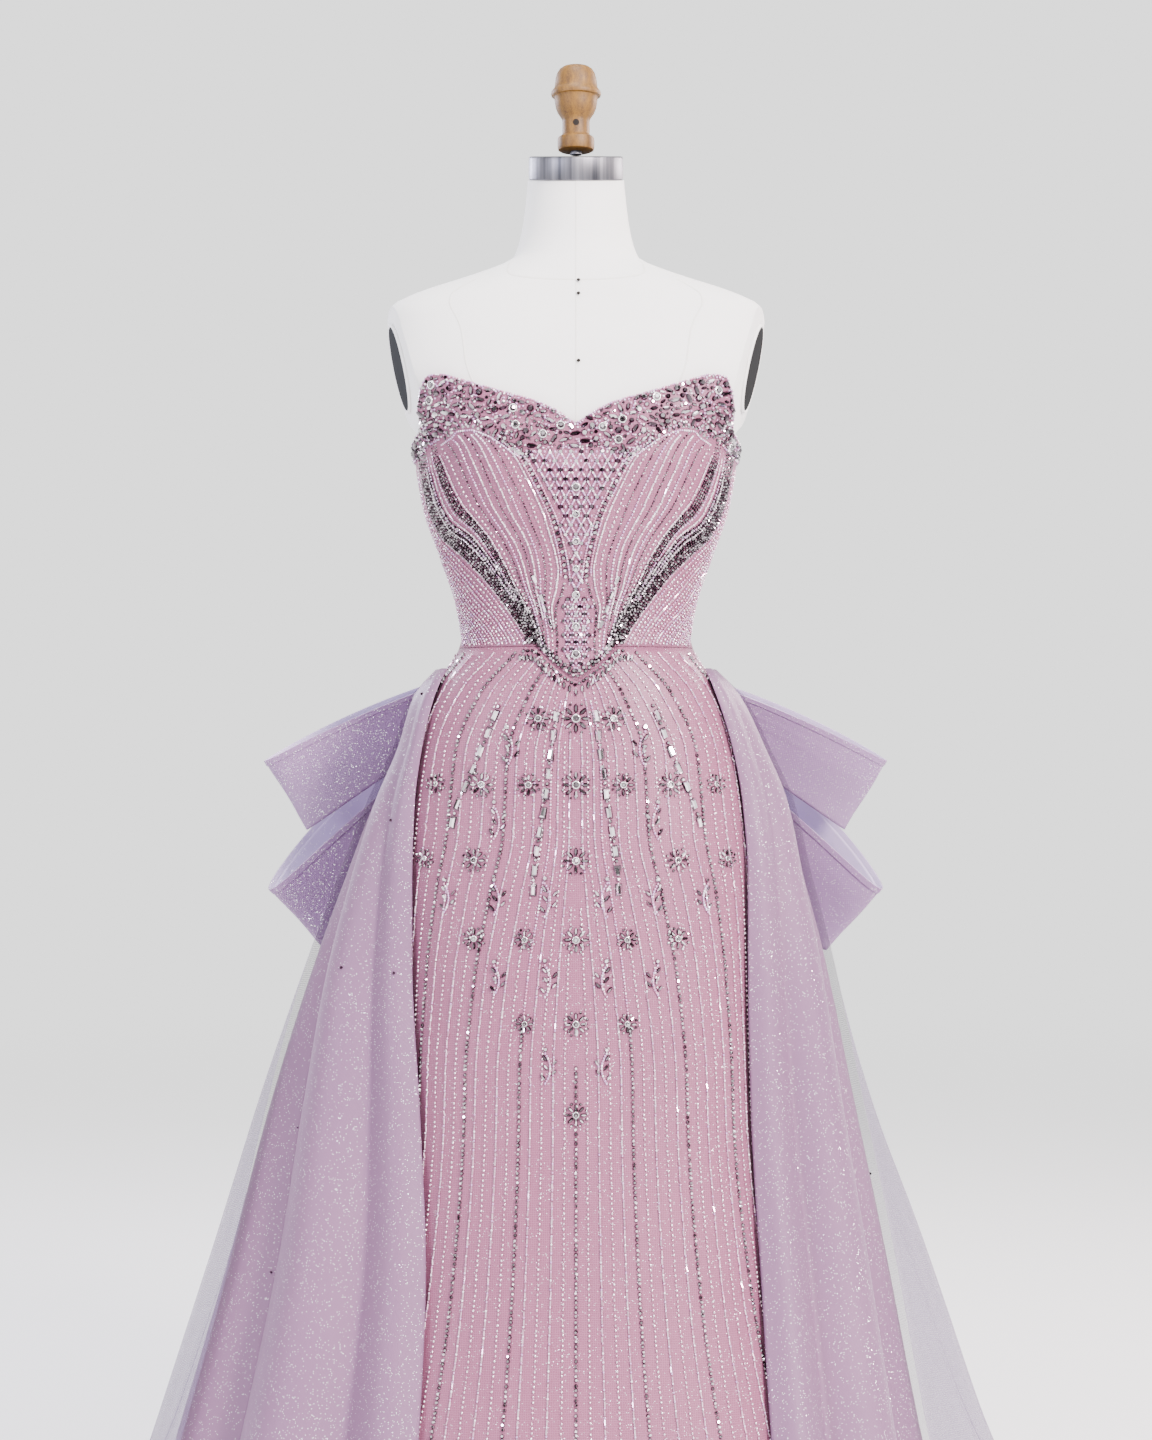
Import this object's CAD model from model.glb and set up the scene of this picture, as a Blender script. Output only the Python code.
import math

import bmesh
import bpy
import numpy as np
from mathutils import Matrix, Vector


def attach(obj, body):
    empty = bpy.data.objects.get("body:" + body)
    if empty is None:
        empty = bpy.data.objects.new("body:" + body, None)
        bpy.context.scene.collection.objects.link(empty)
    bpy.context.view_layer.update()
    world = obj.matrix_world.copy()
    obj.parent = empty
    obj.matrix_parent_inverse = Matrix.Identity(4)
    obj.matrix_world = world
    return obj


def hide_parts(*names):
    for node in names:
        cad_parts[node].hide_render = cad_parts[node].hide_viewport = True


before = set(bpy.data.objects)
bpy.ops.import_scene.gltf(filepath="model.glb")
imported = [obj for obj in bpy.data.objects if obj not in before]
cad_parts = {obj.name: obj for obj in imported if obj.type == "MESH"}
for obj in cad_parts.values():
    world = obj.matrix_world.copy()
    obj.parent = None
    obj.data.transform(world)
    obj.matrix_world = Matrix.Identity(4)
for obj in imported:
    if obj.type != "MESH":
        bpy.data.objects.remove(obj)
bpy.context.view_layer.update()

# Dress form torso. A hard moulded body under a fitted cover of plain-woven cotton, cut in
# panels and sewn edge to edge: matt, off-white and smooth, with thin seams. The figure's
# sections carry the gown too: z, half width, depth in front, depth behind, squareness.
FIGURE = np.array([
    (0.000, 0.3500, 0.250, 0.330, 2.2), (0.100, 0.3000, 0.206, 0.264, 2.2),
    (0.200, 0.2540, 0.170, 0.212, 2.2), (0.300, 0.2230, 0.144, 0.178, 2.2),
    (0.450, 0.1930, 0.120, 0.144, 2.2), (0.600, 0.1770, 0.108, 0.130, 2.2),
    (0.740, 0.1740, 0.104, 0.134, 2.2), (0.840, 0.1745, 0.102, 0.138, 2.2),
    (0.930, 0.1650, 0.098, 0.132, 2.2), (0.990, 0.1530, 0.094, 0.116, 2.2),
    (1.030, 0.1370, 0.089, 0.099, 2.2), (1.058, 0.1180, 0.084, 0.084, 2.2),
    (1.080, 0.1120, 0.082, 0.079, 2.2), (1.108, 0.1160, 0.086, 0.081, 2.2),
    (1.157, 0.1320, 0.099, 0.088, 2.2), (1.206, 0.1490, 0.109, 0.095, 2.2),
    (1.255, 0.1580, 0.113, 0.100, 2.2), (1.282, 0.1620, 0.112, 0.102, 2.3),
    (1.304, 0.1800, 0.110, 0.103, 2.5), (1.352, 0.1960, 0.100, 0.101, 2.8),
    (1.401, 0.1970, 0.086, 0.092, 2.8), (1.414, 0.1870, 0.081, 0.088, 2.8),
    (1.426, 0.1610, 0.077, 0.084, 2.7), (1.438, 0.1250, 0.071, 0.080, 2.5),
    (1.450, 0.0920, 0.064, 0.075, 2.2), (1.463, 0.0660, 0.057, 0.068, 2.0),
    (1.487, 0.0577, 0.052, 0.060, 2.0), (1.513, 0.0535, 0.052, 0.053, 2.0),
    (1.570, 0.0480, 0.053, 0.041, 2.0),
])
CUP_ANGLE = math.radians(36)
CUP_SPREAD = math.radians(21)
CUP_HEIGHT = 1.262
CUP_TALL = 0.048
CUP_RISE = 0.014
FORM_INSET = 0.0015
FORM_BOTTOM = 0.765
NECK_LEAN = math.radians(13)
NECK_CUT = Vector((0.0, -0.006, 1.5425))
ARM_POINT = Vector((0.1785, 0.0, 1.352))
ARM_NORMAL = Vector((0.957, -0.20, -0.21)).normalized()
COTTON_THREAD_MM = 1.1        # the real threads lie 0.4 mm apart, too fine to show


def smooth_table(table, at, column=1):
    """A smooth curve through a column of a table, read at many places at once."""
    table = np.asarray(table, float)
    keys, values = table[:, 0], table[:, column]
    steps = np.diff(keys)
    secants = np.diff(values) / steps
    product = secants[:-1] * secants[1:]
    total = secants[:-1] + secants[1:]
    bends = np.where(product > 0, 2 * product / np.where(total == 0, 1, total), 0)
    slopes = np.concatenate(([0.0], bends, [secants[-1]]))
    at = np.clip(at, keys[0], keys[-1])
    span = np.clip(np.searchsorted(keys, at, side="left") - 1, 0, len(steps) - 1)
    share = (at - keys[span]) / steps[span]
    square, cube = share ** 2, share ** 3
    return ((2 * cube - 3 * square + 1) * values[span]
            + (cube - 2 * square + share) * steps[span] * slopes[span]
            + (3 * square - 2 * cube) * values[span + 1]
            + (cube - square) * steps[span] * slopes[span + 1])


def signed_power(value, power):
    return np.sign(value) * np.abs(value) ** power


def figure_point(angle, z, out):
    """Points round the figure: angle from centre front, towards the wearer's left."""
    angle, z, out = np.broadcast_arrays(np.asarray(angle, float), z, out)
    half, front, back, square = (smooth_table(FIGURE, z, column) for column in (1, 2, 3, 4))
    ahead = np.cos(angle)
    away = np.abs(angle) - CUP_ANGLE
    cup = CUP_RISE * np.exp(-(away / CUP_SPREAD) ** 2 - ((z - CUP_HEIGHT) / CUP_TALL) ** 2)
    depth = np.where(ahead > 0, front + cup, back) + out
    return np.stack([(half + out) * signed_power(np.sin(angle), 2 / square),
                     -depth * signed_power(ahead, 2 / square), z], axis=-1)


def normalized(vectors):
    return vectors / np.maximum(np.linalg.norm(vectors, axis=-1, keepdims=True), 1e-12)


def linear(hex_colour):
    """An sRGB hex colour as the linear colour that a shader takes."""
    parts = [int(hex_colour[i:i + 2], 16) / 255 for i in (1, 3, 5)]
    return (*(p / 12.92 if p <= 0.04045 else ((p + 0.055) / 1.055) ** 2.4 for p in parts), 1.0)


def set_inputs(node, inputs):
    """Set a node's inputs: each is a value, a hex colour, or a node or socket to link."""
    for name, value in inputs.items():
        if isinstance(value, bpy.types.Node):
            value = value.outputs[0]
        if isinstance(value, bpy.types.NodeSocket):
            node.id_data.links.new(value, node.inputs[name])
        else:
            node.inputs[name].default_value = linear(value) if isinstance(value, str) else value


def add_node(tree, kind, inputs=None, **settings):
    """Add a node with its settings, and set or link its inputs."""
    node = tree.nodes.new("ShaderNode" + kind)
    for name, value in settings.items():
        setattr(node, name, value)
    set_inputs(node, inputs or {})
    return node


def lie_of_cloth(tree, size_mm):
    """Places along the cloth, in units of a pattern's real size in mm."""
    lie = add_node(tree, "UVMap", uv_map="cloth_mm")
    return add_node(tree, "VectorMath", {"Vector": lie, "Scale": 1 / size_mm}, operation="SCALE")


def places_mm(tree, sizes_mm):
    """Places in the part's frame, in units of a pattern's real size or sizes in mm."""
    spot = add_node(tree, "TexCoord").outputs["Object"]
    units = tuple(1000 / size for size in np.broadcast_to(sizes_mm, 3))
    return add_node(tree, "VectorMath", {0: spot, 1: units}, operation="MULTIPLY")


def plain_weave(tree, thread_mm, strength, high):
    """The surface of a plain weave: threads over and under, in both directions."""
    turns = add_node(tree, "VectorMath", {
        "Vector": lie_of_cloth(tree, thread_mm), "Scale": math.pi}, operation="SCALE")
    waves = add_node(tree, "VectorMath", {0: turns}, operation="SINE")
    split = add_node(tree, "SeparateXYZ", {0: waves})
    height = add_node(tree, "Math", {0: split.outputs[0], 1: split.outputs[1]},
                      operation="MULTIPLY")
    return add_node(tree, "Bump", {"Strength": strength, "Distance": high, "Height": height})


def clouds(tree, sizes_mm, first, second, detail=3.0):
    """A colour that drifts between two hex colours."""
    noise = add_node(tree, "TexNoise", {
        "Vector": places_mm(tree, sizes_mm), "Scale": 1.0, "Detail": detail})
    return add_node(tree, "Mix", {0: noise, 6: first, 7: second}, data_type="RGBA").outputs[2]


def new_finish(name, sockets, drift=None):
    """A material, its tree and its shader; drift is what clouds takes for the colour."""
    finish = bpy.data.materials.new(name)
    finish.use_nodes = True
    tree = finish.node_tree
    shader = tree.nodes["Principled BSDF"]
    set_inputs(shader, sockets)
    if drift:
        set_inputs(shader, {"Base Color": clouds(tree, *drift)})
    return finish, tree, shader


def new_object(name, data):
    """An object in the scene that shows some data."""
    made = bpy.data.objects.new(name, data)
    bpy.context.scene.collection.objects.link(made)
    return made


def enter(made, replaces=None):
    """Enter a piece in the frame: it rides on the one body and may stand for a solid."""
    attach(made, "root")
    if replaces:
        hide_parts(replaces)
    return made


def cloth_grid(name, points, finish, wall=0.0, flip=False, lining=None):
    """Cloth through points[column, row]; its UV map is the lie of the cloth in mm."""
    columns, rows = points.shape[:2]
    number = np.arange(columns * rows).reshape(columns, rows)
    faces = np.stack([number[:-1, :-1], number[1:, :-1], number[1:, 1:], number[:-1, 1:]],
                     axis=-1).reshape(-1, 4)
    if flip:
        faces = faces[:, ::-1]
    lie = np.zeros((columns, rows, 2))
    lie[1:, :, 0] = np.cumsum(np.linalg.norm(np.diff(points, axis=0), axis=-1), axis=0)
    lie[:, 1:, 1] = np.cumsum(np.linalg.norm(np.diff(points, axis=1), axis=-1), axis=1)
    lie[..., 0] -= lie[columns // 2, :, 0].copy()
    mesh = bpy.data.meshes.new(name)
    mesh.from_pydata(points.reshape(-1, 3).tolist(), [], faces.tolist())
    places = lie.reshape(-1, 2)[faces].reshape(-1) * 1000
    mesh.uv_layers.new(name="cloth_mm").data.foreach_set("uv", places)
    mesh.materials.append(finish)
    mesh.shade_smooth()
    made = new_object(name, mesh)
    if wall:
        thick = made.modifiers.new("cloth", "SOLIDIFY")
        thick.thickness = wall
        thick.offset = -1
        if lining:
            mesh.materials.append(lining)
            thick.material_offset = 1
    return made


COTTON, tree, shader = new_finish("plain-woven cotton, off-white", {
    "Roughness": 0.88, "IOR": 1.5, "Sheen Weight": 0.12, "Sheen Roughness": 0.5},
    (70, "#f0efee", "#e7e6e5"))
set_inputs(shader, {"Normal": plain_weave(tree, COTTON_THREAD_MM, 0.25, 0.00015)})

turns = np.linspace(-math.pi, math.pi, 145)
heights = np.linspace(FORM_BOTTOM, FIGURE[-1, 0], 121)
torso = cloth_grid("form_torso_cover",
                   figure_point(turns[:, None], heights[None, :], -FORM_INSET), COTTON)
shape = bmesh.new()
shape.from_mesh(torso.data)
bmesh.ops.remove_doubles(shape, verts=shape.verts, dist=1e-6)
neck_way = Vector((0, -math.sin(NECK_LEAN), math.cos(NECK_LEAN)))
ARMS = {"left": Vector((1, 1, 1)), "right": Vector((-1, 1, 1))}
cuts = [(NECK_CUT, neck_way)] + [(ARM_POINT * arm, ARM_NORMAL * arm) for arm in ARMS.values()]
for point, way in cuts:
    cut = bmesh.ops.bisect_plane(shape, geom=shape.verts[:] + shape.edges[:] + shape.faces[:],
                                 plane_co=point, plane_no=way, clear_outer=True, dist=1e-6)
    rim = [item for item in cut["geom_cut"] if isinstance(item, bmesh.types.BMEdge)]
    bmesh.ops.contextual_create(shape, geom=rim)
bottom = [edge for edge in shape.edges if edge.is_boundary]
bmesh.ops.contextual_create(shape, geom=bottom)
shape.to_mesh(torso.data)
shape.free()
torso.data.set_sharp_from_angle(angle=math.radians(40))
enter(torso, "form_torso")

# Seams of the form's cover. Each is a narrow ridge where two cotton edges are turned in
# and sewn: centre front and back, the princess seams and the base of the neck.
SEAM_WIDE = 0.0020
SEAM_HIGH = 0.0003
SEAM_LINES = {                # height, and degrees from the centre front
    "centre_front": [(1.24, 0.0), (1.54, 0.0)],
    "centre_back": [(1.20, 180.0), (1.46, 180.0)],
    "princess_left": [(1.25, 25.0), (1.33, 26.0), (1.375, 27.5), (1.432, 39.0)],
    "princess_right": [(1.25, -25.0), (1.33, -26.0), (1.375, -27.5), (1.432, -39.0)],
    "back_left": [(1.22, 152.0), (1.33, 151.0), (1.375, 150.0), (1.44, 140.0)],
    "back_right": [(1.22, -152.0), (1.33, -151.0), (1.375, -150.0), (1.44, -140.0)],
}
NECK_SEAM = [(0, 1.4295), (20, 1.434), (41, 1.447), (65, 1.460), (90, 1.465), (180, 1.467)]
COTTON_SEAM, tree, shader = new_finish("cotton seam, turned and sewn", {
    "Roughness": 0.9, "Sheen Weight": 0.1}, (4, "#e6e4e1", "#dcdad7"))


def on_figure(angle, z, out):
    """Spots on the figure with the way round, the way up and the way out at each."""
    angle, z = np.broadcast_arrays(np.asarray(angle, float), np.asarray(z, float))
    step = 1e-3
    round_it = figure_point(angle + step, z, out) - figure_point(angle - step, z, out)
    up_it = figure_point(angle, z + step, out) - figure_point(angle, z - step, out)
    outward = normalized(np.cross(round_it, up_it))
    return figure_point(angle, z, out), normalized(round_it), normalized(up_it), outward


def form_seam(name, angle, z):
    """A low rounded ridge along a line of angles and heights on the form."""
    spots = figure_point(angle, z, -FORM_INSET)
    outward = on_figure(angle, z, 0.0)[3]
    across = normalized(np.cross(outward, normalized(np.gradient(spots, axis=0))))
    points = np.stack([spots + across * (SEAM_WIDE / 2 * math.cos(turn))
                       + outward * (SEAM_HIGH * math.sin(turn))
                       for turn in np.linspace(0, math.pi, 7)])
    enter(cloth_grid(f"form_seam_{name}", points, COTTON_SEAM, flip=True))


for name, line in SEAM_LINES.items():
    z = np.linspace(line[0][0], line[-1][0], 60)
    form_seam(name, np.radians(smooth_table(line, z)), z)
angle = np.linspace(-math.pi, math.pi, 121)
form_seam("neck", angle, smooth_table(NECK_SEAM, np.abs(np.degrees(angle))))

# Arm plates, neck cap, post and finial. The plates are slate-grey board in a piped cotton
# rim. The cap is spun aluminium, brushed round and round. The finial is turned beech with
# a drilled eye and a thin oil finish. Pole and foot are painted cast iron, out of sight.
PLATE_HALF = (0.031, 0.043)
PIPING_RADIUS = 0.0019
PIPING_OUT = 0.0012
CAP_RADIUS = 0.0478
CAP_HEIGHT = 0.0235
FINIAL_BOTTOM = 1.5735
FINIAL_TURNING = [
    (0.0000, 0.0000), (0.0158, 0.0000), (0.0180, 0.0012), (0.0187, 0.0035), (0.0188, 0.0110),
    (0.0184, 0.0135), (0.0168, 0.0148), (0.0146, 0.0158), (0.0140, 0.0175), (0.0139, 0.0300),
    (0.0143, 0.0325), (0.0160, 0.0352), (0.0186, 0.0390), (0.0206, 0.0440), (0.0216, 0.0495),
    (0.0220, 0.0545), (0.0225, 0.0556), (0.0250, 0.0562), (0.0256, 0.0580), (0.0252, 0.0604),
    (0.0232, 0.0628), (0.0219, 0.0648), (0.0214, 0.0700), (0.0206, 0.0750), (0.0192, 0.0795),
    (0.0168, 0.0832), (0.0132, 0.0857), (0.0090, 0.0868), (0.0045, 0.0874), (0.0000, 0.0875),
]
EYE_RADIUS = 0.0033
EYE_HEIGHT = 0.0265
EYE_OUT = 0.0141
LATHE_SIDES = 96


def turned_piece(name, profile, finish):
    """A piece turned on a lathe, from (radius, height) points, about the Z axis."""
    turns = np.linspace(0, 2 * math.pi, LATHE_SIDES + 1)[:, None]
    radius, height = np.asarray(profile).T
    made = cloth_grid(name, np.stack([radius * np.cos(turns), radius * np.sin(turns),
                                      height + 0 * turns], axis=-1), finish)
    shape = bmesh.new()
    shape.from_mesh(made.data)
    bmesh.ops.remove_doubles(shape, verts=shape.verts, dist=1e-6)
    shape.to_mesh(made.data)
    shape.free()
    made.data.set_sharp_from_angle(angle=math.radians(38))
    return made


SLATE, tree, shader = new_finish("slate-black pressed board", {
    "Roughness": 0.85, "Specular IOR Level": 0.1}, (3, "#050608", "#0b0e11", 6.0))
ALUMINIUM, tree, shader = new_finish("spun aluminium", {"Metallic": 1.0, "Anisotropic": 0.6})
round_wall = add_node(tree, "VectorMath", {0: lie_of_cloth(tree, 9), 1: (1.0, 0.02, 1.0)},
                      operation="MULTIPLY")
streaks = add_node(tree, "TexNoise", {
    "Vector": round_wall, "Scale": 1.0, "Detail": 5.0, "Roughness": 0.55})
bands = add_node(tree, "MapRange", {"Value": streaks, "From Min": 0.32, "From Max": 0.68})
tone = add_node(tree, "Mix", {0: bands, 6: "#37383e", 7: "#84838a"}, data_type="RGBA")
rings = add_node(tree, "TexNoise", {
    "Vector": places_mm(tree, (60, 60, 0.5)), "Scale": 1.0, "Detail": 4.0})
brushed = add_node(tree, "MapRange", {"Value": rings, "To Min": 0.34, "To Max": 0.48})
set_inputs(shader, {"Base Color": tone.outputs[2], "Roughness": brushed})
BEECH, tree, shader = new_finish("turned beech, oiled", {
    "Roughness": 0.58, "Coat Weight": 0.06, "Coat Roughness": 0.45})
grain = add_node(tree, "TexNoise", {
    "Vector": places_mm(tree, (5.0, 5.0, 20)), "Scale": 1.0, "Detail": 4.0, "Distortion": 0.6})
flecks = add_node(tree, "TexNoise", {
    "Vector": places_mm(tree, (0.9, 0.9, 1.9)), "Scale": 1.0, "Detail": 2.0})
streaks = add_node(tree, "Math", {0: flecks, 1: 0.8, 2: grain}, operation="MULTIPLY_ADD")
shade = add_node(tree, "MapRange", {"Value": streaks, "From Min": 0.62, "From Max": 1.15})
tone = add_node(tree, "Mix", {0: shade, 6: "#7f570d", 7: "#4b2e04"}, data_type="RGBA")
pores = add_node(tree, "Bump", {"Strength": 0.2, "Distance": 0.0002, "Height": streaks})
set_inputs(shader, {"Base Color": tone.outputs[2], "Normal": pores})
IRON, tree, shader = new_finish("painted cast iron", {"Roughness": 0.45},
                                (5, "#1c1c1d", "#262627", 5.0))
casting = add_node(tree, "TexNoise", {"Vector": places_mm(tree, 1.5), "Scale": 1.0})
skin = add_node(tree, "Bump", {"Strength": 0.3, "Distance": 0.0004, "Height": casting})
set_inputs(shader, {"Normal": skin})
DARK_EYE, tree, shader = new_finish("drilled eye in shade", {"Roughness": 0.9},
                                    (1, "#0d0704", "#170d06"))

for node, finish in (("arm_plate_left", SLATE), ("arm_plate_right", SLATE),
                     ("finial_post", ALUMINIUM), ("stand_pole", IRON), ("stand_base", IRON)):
    bpy.data.objects[node].material_slots[0].material = finish

turns = np.linspace(0, 2 * math.pi, 73)[:, None, None]
tube = np.linspace(0, 2 * math.pi, 11)[None, :, None]
for side_name, arm in ARMS.items():
    way = ARM_NORMAL * arm
    across = Vector((0, 0, 1)).cross(way).normalized()
    ring = (np.array(across) * np.cos(turns) * (PLATE_HALF[0] + PIPING_RADIUS * 0.7)
            + np.array(way.cross(across)) * np.sin(turns) * (PLATE_HALF[1] + PIPING_RADIUS * 0.7))
    piping = (np.array(ARM_POINT * arm + way * PIPING_OUT) + ring
              + normalized(ring) * PIPING_RADIUS * np.cos(tube)
              + np.array(way) * PIPING_RADIUS * np.sin(tube))
    enter(cloth_grid(f"arm_piping_{side_name}", piping, COTTON, flip=arm.x < 0))

cap = turned_piece("neck_cap_spun", [
    (0.0, 0.0), (CAP_RADIUS - 0.0010, 0.0), (CAP_RADIUS, 0.0010),
    (CAP_RADIUS, CAP_HEIGHT - 0.0022), (CAP_RADIUS - 0.0007, CAP_HEIGHT - 0.0006),
    (CAP_RADIUS - 0.0022, CAP_HEIGHT), (0.0, CAP_HEIGHT)], ALUMINIUM)
lean = Matrix.Translation(NECK_CUT + neck_way * 0.0003) @ Matrix.Rotation(NECK_LEAN, 4, "X")
cap.data.transform(lean)
enter(cap, "neck_cap")

profile = [(radius, FINIAL_BOTTOM + height) for radius, height in FINIAL_TURNING]
enter(turned_piece("finial_turned", profile, BEECH), "finial")
turns = np.linspace(0, 2 * math.pi, 33)[:, None]
radii = np.linspace(0.0, EYE_RADIUS, 5)[None, :]
x = radii * np.cos(turns)
z = FINIAL_BOTTOM + EYE_HEIGHT + radii * np.sin(turns)
eye = np.stack([x, -np.sqrt(EYE_OUT ** 2 - x ** 2), z], axis=-1)
enter(cloth_grid("finial_eye", eye, DARK_EYE))

# Bodice. Five fitted panels of satin under fine tulle, boned and lined, each sewn to the
# next edge to edge; the front panel ends in a point at the waist. The tulle's mesh and
# scattered flakes show between the beads as a fine, softly glinting pink.
EASE = 0.0024
CLOTH = 0.0020
BODICE_WALL = 0.0016
GOWN_OUT = EASE + CLOTH
SIDES = ((1, "left"), (-1, "right"))
SIDE_SEAM = math.radians(95)
SEAM_ANGLE = math.radians(0.12)
WAIST_Z = 1.066
WAIST_POINT = 0.034
WAIST_GAP = 0.0006
BAND_RAISE = 0.0012
NECKLINE = [                  # degrees from the centre front, and height
    (0.0, 1.283), (4.0, 1.2945), (8.0, 1.303), (17.0, 1.3135), (29.0, 1.3265), (36.0, 1.332),
    (41.5, 1.3315), (46.0, 1.323), (57.5, 1.297), (75.0, 1.276), (95.0, 1.270),
    (130.0, 1.266), (180.0, 1.262),
]
PRINCESS_SEAM = [             # share of the way up from the waist, and degrees
    (0.00, 17.5), (0.06, 21.5), (0.21, 34.7), (0.39, 51.0), (0.54, 65.0), (0.73, 70.5),
    (1.00, 72.0),
]
FLAKE_REACH = 0.40            # a flake's radius as a share of the spacing
FLAKE_TILT = 0.45
FLAKE_METAL = 0.35
FLAKE_ROUGHNESS = 0.25
TULLE_MESH_MM = 2.2           # real bobbinet holes are near 1 mm, too fine to show
FLAKE_SPACING_MM = 1.1        # real flakes are 0.4 mm, too fine to show


def neckline_z(angle):
    return smooth_table(NECKLINE, np.abs(np.degrees(angle)))


def waist_z(angle):
    dip = np.clip(1 - np.abs(np.degrees(angle)) / PRINCESS_SEAM[0][1], 0, 1)
    return WAIST_Z - WAIST_POINT * dip


def princess_angle(rise):
    return np.radians(smooth_table(PRINCESS_SEAM, rise))


def bodice_z(angle, rise):
    low = waist_z(angle) + WAIST_GAP / 2
    return low + (neckline_z(angle) - low) * rise


def ease_between(value, low, high):
    share = np.clip((value - low) / (high - low), 0, 1)
    return share * share * (3 - 2 * share)


def glittered(tree, shader, cloth_colour, flake_colour, spacing_mm, share, normal=None):
    """Scatter small flat flakes over a cloth colour; each lies at its own slight tilt."""
    cells = add_node(tree, "TexVoronoi", {"Vector": places_mm(tree, spacing_mm), "Scale": 1.0})
    chance = add_node(tree, "SeparateXYZ", {0: cells.outputs["Color"]})
    chosen = add_node(tree, "Math", {0: chance, 1: share}, operation="LESS_THAN")
    near = add_node(tree, "Math", {0: cells.outputs["Distance"], 1: FLAKE_REACH},
                    operation="LESS_THAN")
    flake = add_node(tree, "Math", {0: chosen, 1: near}, operation="MULTIPLY")
    colour = add_node(tree, "Mix", {0: flake, 6: cloth_colour, 7: flake_colour}, data_type="RGBA")
    metal = add_node(tree, "Math", {0: flake, 1: FLAKE_METAL}, operation="MULTIPLY")
    rough = add_node(tree, "MapRange", {
        "Value": flake, "To Min": shader.inputs["Roughness"].default_value,
        "To Max": FLAKE_ROUGHNESS})
    flat = normal or add_node(tree, "NewGeometry").outputs["Normal"]
    tilt = add_node(tree, "VectorMath", {
        0: cells.outputs["Color"], 1: (2 * FLAKE_TILT,) * 3, 2: (-FLAKE_TILT,) * 3},
        operation="MULTIPLY_ADD")
    tilted = add_node(tree, "VectorMath", {0: flat, 1: tilt}, operation="ADD")
    facing = add_node(tree, "VectorMath", {0: tilted}, operation="NORMALIZE")
    lie = add_node(tree, "Mix", {0: flake, 4: flat, 5: facing}, data_type="VECTOR")
    set_inputs(shader, {"Base Color": colour.outputs[2], "Metallic": metal, "Roughness": rough,
                        "Normal": lie.outputs[1]})


def net_holes(tree, mesh_mm):
    """Distance to the nearest thread of a bobbinet's six-sided mesh."""
    return add_node(tree, "TexVoronoi", {
        "Vector": lie_of_cloth(tree, mesh_mm), "Scale": 1.0, "Randomness": 0.35},
        feature="DISTANCE_TO_EDGE", voronoi_dimensions="2D").outputs["Distance"]


SATIN, tree, shader = new_finish("tulle over duchess satin, rose pink", {
    "Roughness": 0.48, "IOR": 1.45, "Sheen Weight": 0.12, "Sheen Roughness": 0.4,
    "Sheen Tint": "#f2cfe0"})
ground = clouds(tree, (60, 60, 130), "#864d67", "#78425d")
holes = add_node(tree, "Math", {0: net_holes(tree, TULLE_MESH_MM), 1: 0.10},
                 operation="LESS_THAN")
netted = add_node(tree, "Mix", {0: holes, 6: ground, 7: "#935b78"}, data_type="RGBA")
raised = add_node(tree, "Bump", {"Strength": 0.3, "Distance": 0.0002, "Height": holes})
glittered(tree, shader, netted.outputs[2], "#fbf1f6", FLAKE_SPACING_MM, 0.05, raised)

rises = np.linspace(0, 1, 61)
edge = princess_angle(rises) - SEAM_ANGLE
lift = BAND_RAISE * ease_between(rises, 0.77, 0.80)
angles = {"bodice_front": np.linspace(-1, 1, 101)[:, None] * edge[None, :]}
for side, side_name in SIDES:
    share = np.linspace(0, 1, 31)[:, None]
    start = princess_angle(rises)[None, :] + SEAM_ANGLE
    angles[f"bodice_side_{side_name}"] = side * (start + (SIDE_SEAM - SEAM_ANGLE - start) * share)
    start = SIDE_SEAM + SEAM_ANGLE
    turn = start + (math.pi - SEAM_ANGLE - start) * share
    angles[f"bodice_back_{side_name}"] = side * np.broadcast_to(turn, (31, 61))
for node, angle in angles.items():
    points = figure_point(angle, bodice_z(angle, rises[None, :]), GOWN_OUT + lift[None, :])
    panel = cloth_grid(f"{node}_cloth", points, SATIN, BODICE_WALL, flip=node.endswith("right"))
    enter(panel, node)

# Beads and stones, each sewn through the cloth by hand: foil-backed cut glass in hard facets,
# seed beads lined in pink and lilac, silver-lined bugles. The encrusted neckline comes first:
# stones packed to the edge over a bed of seed beads, with round stones as its lower border.
SEED_MM = 2.3                 # real ones are 1.5 to 2 mm, and more of them than can be drawn
BUGLE_MM = (5.4, 1.8)
BUGLE_GAP_MM = 3.2            # room for the seed bead between two bugles
CHAIN_STONE_MM = 3.3
STONE_TONES = ("#3a2733", "#fdf8fc")
STONE_TILT = 0.17             # stones are never sewn quite flat, so each glints apart
GIRDLE_SHADE = 0.45           # a stone is darker round its girdle, where the foil turns away
GLASS, LINED, SILVERED, PLATED = range(4)    # which of BEAD_FINISHES, below, a bead has
random = np.random.default_rng(11)


def bead_shape(finish, rings, pointed=False, smooth=False, lid=True):
    """A bead's corners and faces, from rings of as many points each, and its finish."""
    rings = [np.asarray(ring, float) for ring in rings]
    count = len(rings[0])
    faces = []
    for low in range(0, (len(rings) - 1) * count, count):
        for i in range(count):
            after = (i + 1) % count
            high = low + count
            if pointed:
                faces.append((low + i, low + after, high + i))
                faces.append((low + after, high + after, high + i))
            else:
                faces.append((low + i, low + after, high + after, high + i))
    if lid:
        faces.append(tuple(range((len(rings) - 1) * count, len(rings) * count)))
    return np.concatenate(rings), faces, smooth, finish


def round_ring(count, radius, height, offset=0.0):
    turns = 2 * math.pi * (np.arange(count) + offset) / count
    return np.stack([radius * np.cos(turns), radius * np.sin(turns),
                     np.full(count, height)], axis=-1)


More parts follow.
